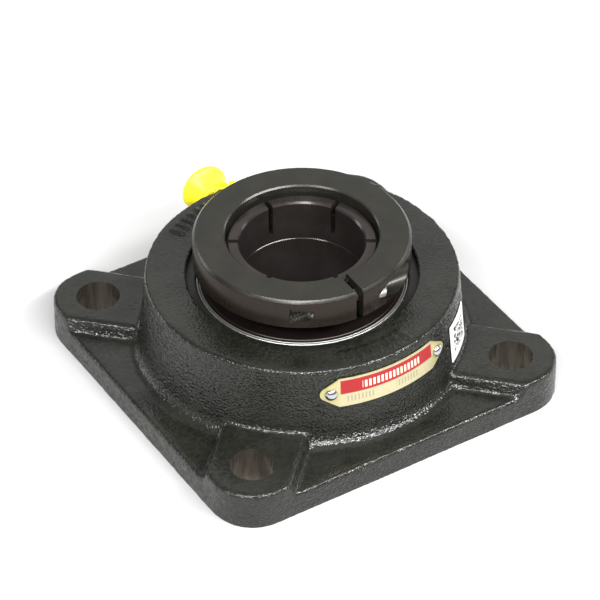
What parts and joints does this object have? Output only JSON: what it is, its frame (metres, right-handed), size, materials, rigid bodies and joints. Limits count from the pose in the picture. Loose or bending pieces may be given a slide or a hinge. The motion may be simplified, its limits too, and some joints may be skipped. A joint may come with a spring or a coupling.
{
  "type": "flange mount bearing",
  "caption": "Square-flanged ball bearing unit with a self-aligning insert, a split clamp collar on the shaft and a capped grease fitting.",
  "frame": {"origin": "on the shaft axis, in the plane of the mounting face", "axes": "+Z along the shaft axis towards the clamp collar, flange sides along X and Y, grease fitting to +Y, nameplate to -Y"},
  "size_m": [0.1364, 0.1365, 0.0556],
  "materials": {
    "housing": "black semi-gloss enamel over a sand-cast skin",
    "outer_ring": "black oxide",
    "inner_ring": "black oxide, turned",
    "collar": "black oxide, turned",
    "screw": "black alloy steel",
    "ball_steel": "polished",
    "cage": "moulded",
    "shield": "bright zinc",
    "felt": "oiled felt",
    "flinger": "zinc",
    "pin": "ground",
    "fitting": "zinc",
    "spring": "drawn wire",
    "cap_plastic": "soft moulded plastic",
    "nameplate": "printed, with a red band",
    "rivet": "bright",
    "label": "printed label"
  },
  "bodies": {
    "housing": {"housing": "housing", "nameplate": "nameplate", "nameplate_rivet_left": "rivet", "nameplate_rivet_right": "rivet", "code_label": "label", "grease_fitting": "fitting", "check_spring": "spring", "cap_tether": "cap_plastic"},
    "locking_pin": {"locking_pin": "pin"},
    "insert": {"outer_ring": "outer_ring", "front_shield": "shield", "back_shield": "shield", "front_felt_seal": "felt", "back_felt_seal": "felt"},
    "shaft_ring": {"inner_ring": "inner_ring", "front_flinger": "flinger", "back_flinger": "flinger", "lock_collar": "collar"},
    "cap_screw": {"collar_cap_screw": "screw"},
    "cage": {"cage": "cage"},
    "ball_1": {"ball_01": "ball_steel"},
    "ball_2": {"ball_02": "ball_steel"},
    "ball_3": {"ball_03": "ball_steel"},
    "ball_4": {"ball_04": "ball_steel"},
    "ball_5": {"ball_05": "ball_steel"},
    "ball_6": {"ball_06": "ball_steel"},
    "ball_7": {"ball_07": "ball_steel"},
    "ball_8": {"ball_08": "ball_steel"},
    "ball_9": {"ball_09": "ball_steel"},
    "grease_cap": {"grease_cap": "cap_plastic"},
    "check_ball": {"check_ball": "ball_steel"}
  },
  "joints": [
    {"name": "insert_tilt_x", "type": "hinge", "parent": "housing", "child": "locking_pin", "pos_m": [0, 0, 0.0245], "axis": [1, 0, 0], "range_deg": [-2, 2]},
    {"name": "insert_tilt_y", "type": "hinge", "parent": "locking_pin", "child": "insert", "pos_m": [0, 0, 0.0245], "axis": [0, 1, 0], "range_deg": [-2, 2]},
    {"name": "shaft_spin", "type": "hinge", "parent": "insert", "child": "shaft_ring", "pos_m": [0, 0, 0.0245], "axis": [0, 0, 1], "continuous": true},
    {"name": "cage_orbit", "type": "hinge", "parent": "insert", "child": "cage", "pos_m": [0, 0, 0.0245], "axis": [0, 0, 1], "continuous": true},
    {"name": "ball_1_roll", "type": "hinge", "parent": "cage", "child": "ball_1", "pos_m": [-0.01103, 0.0303, 0.0245], "axis": [0, 0, 1], "continuous": true},
    {"name": "ball_2_roll", "type": "hinge", "parent": "cage", "child": "ball_2", "pos_m": [-0.02793, 0.01613, 0.0245], "axis": [0, 0, 1], "continuous": true},
    {"name": "ball_3_roll", "type": "hinge", "parent": "cage", "child": "ball_3", "pos_m": [-0.03176, -0.0056, 0.0245], "axis": [0, 0, 1], "continuous": true},
    {"name": "ball_4_roll", "type": "hinge", "parent": "cage", "child": "ball_4", "pos_m": [-0.02073, -0.02471, 0.0245], "axis": [0, 0, 1], "continuous": true},
    {"name": "ball_5_roll", "type": "hinge", "parent": "cage", "child": "ball_5", "pos_m": [0, -0.03225, 0.0245], "axis": [0, 0, 1], "continuous": true},
    {"name": "ball_6_roll", "type": "hinge", "parent": "cage", "child": "ball_6", "pos_m": [0.02073, -0.02471, 0.0245], "axis": [0, 0, 1], "continuous": true},
    {"name": "ball_7_roll", "type": "hinge", "parent": "cage", "child": "ball_7", "pos_m": [0.03176, -0.0056, 0.0245], "axis": [0, 0, 1], "continuous": true},
    {"name": "ball_8_roll", "type": "hinge", "parent": "cage", "child": "ball_8", "pos_m": [0.02793, 0.01613, 0.0245], "axis": [0, 0, 1], "continuous": true},
    {"name": "ball_9_roll", "type": "hinge", "parent": "cage", "child": "ball_9", "pos_m": [0.01103, 0.0303, 0.0245], "axis": [0, 0, 1], "continuous": true},
    {"name": "cap_screw_turn", "type": "hinge", "parent": "shaft_ring", "child": "cap_screw", "pos_m": [-0.00056, -0.03189, 0.04945], "axis": [0.9998, -0.0175, 0], "range_deg": [0, 360]},
    {"name": "grease_cap_pull", "type": "slide", "parent": "housing", "child": "grease_cap", "axis": [0, 1, 0], "range_m": [0, 0.012], "deforming": ["cap_tether"]},
    {"name": "check_ball_open", "type": "slide", "parent": "housing", "child": "check_ball", "axis": [0, -1, 0], "range_m": [0, 0.0006], "stiffness_N_per_m": 50, "deforming": ["check_spring"]}
  ],
  "couplings": [
    {"joint": "cage_orbit", "follows": "shaft_spin", "ratio": 0.40155},
    {"joint": "ball_1_roll", "follows": "shaft_spin", "ratio": -2.4409},
    {"joint": "ball_2_roll", "follows": "shaft_spin", "ratio": -2.4409},
    {"joint": "ball_3_roll", "follows": "shaft_spin", "ratio": -2.4409},
    {"joint": "ball_4_roll", "follows": "shaft_spin", "ratio": -2.4409},
    {"joint": "ball_5_roll", "follows": "shaft_spin", "ratio": -2.4409},
    {"joint": "ball_6_roll", "follows": "shaft_spin", "ratio": -2.4409},
    {"joint": "ball_7_roll", "follows": "shaft_spin", "ratio": -2.4409},
    {"joint": "ball_8_roll", "follows": "shaft_spin", "ratio": -2.4409},
    {"joint": "ball_9_roll", "follows": "shaft_spin", "ratio": -2.4409}
  ]
}
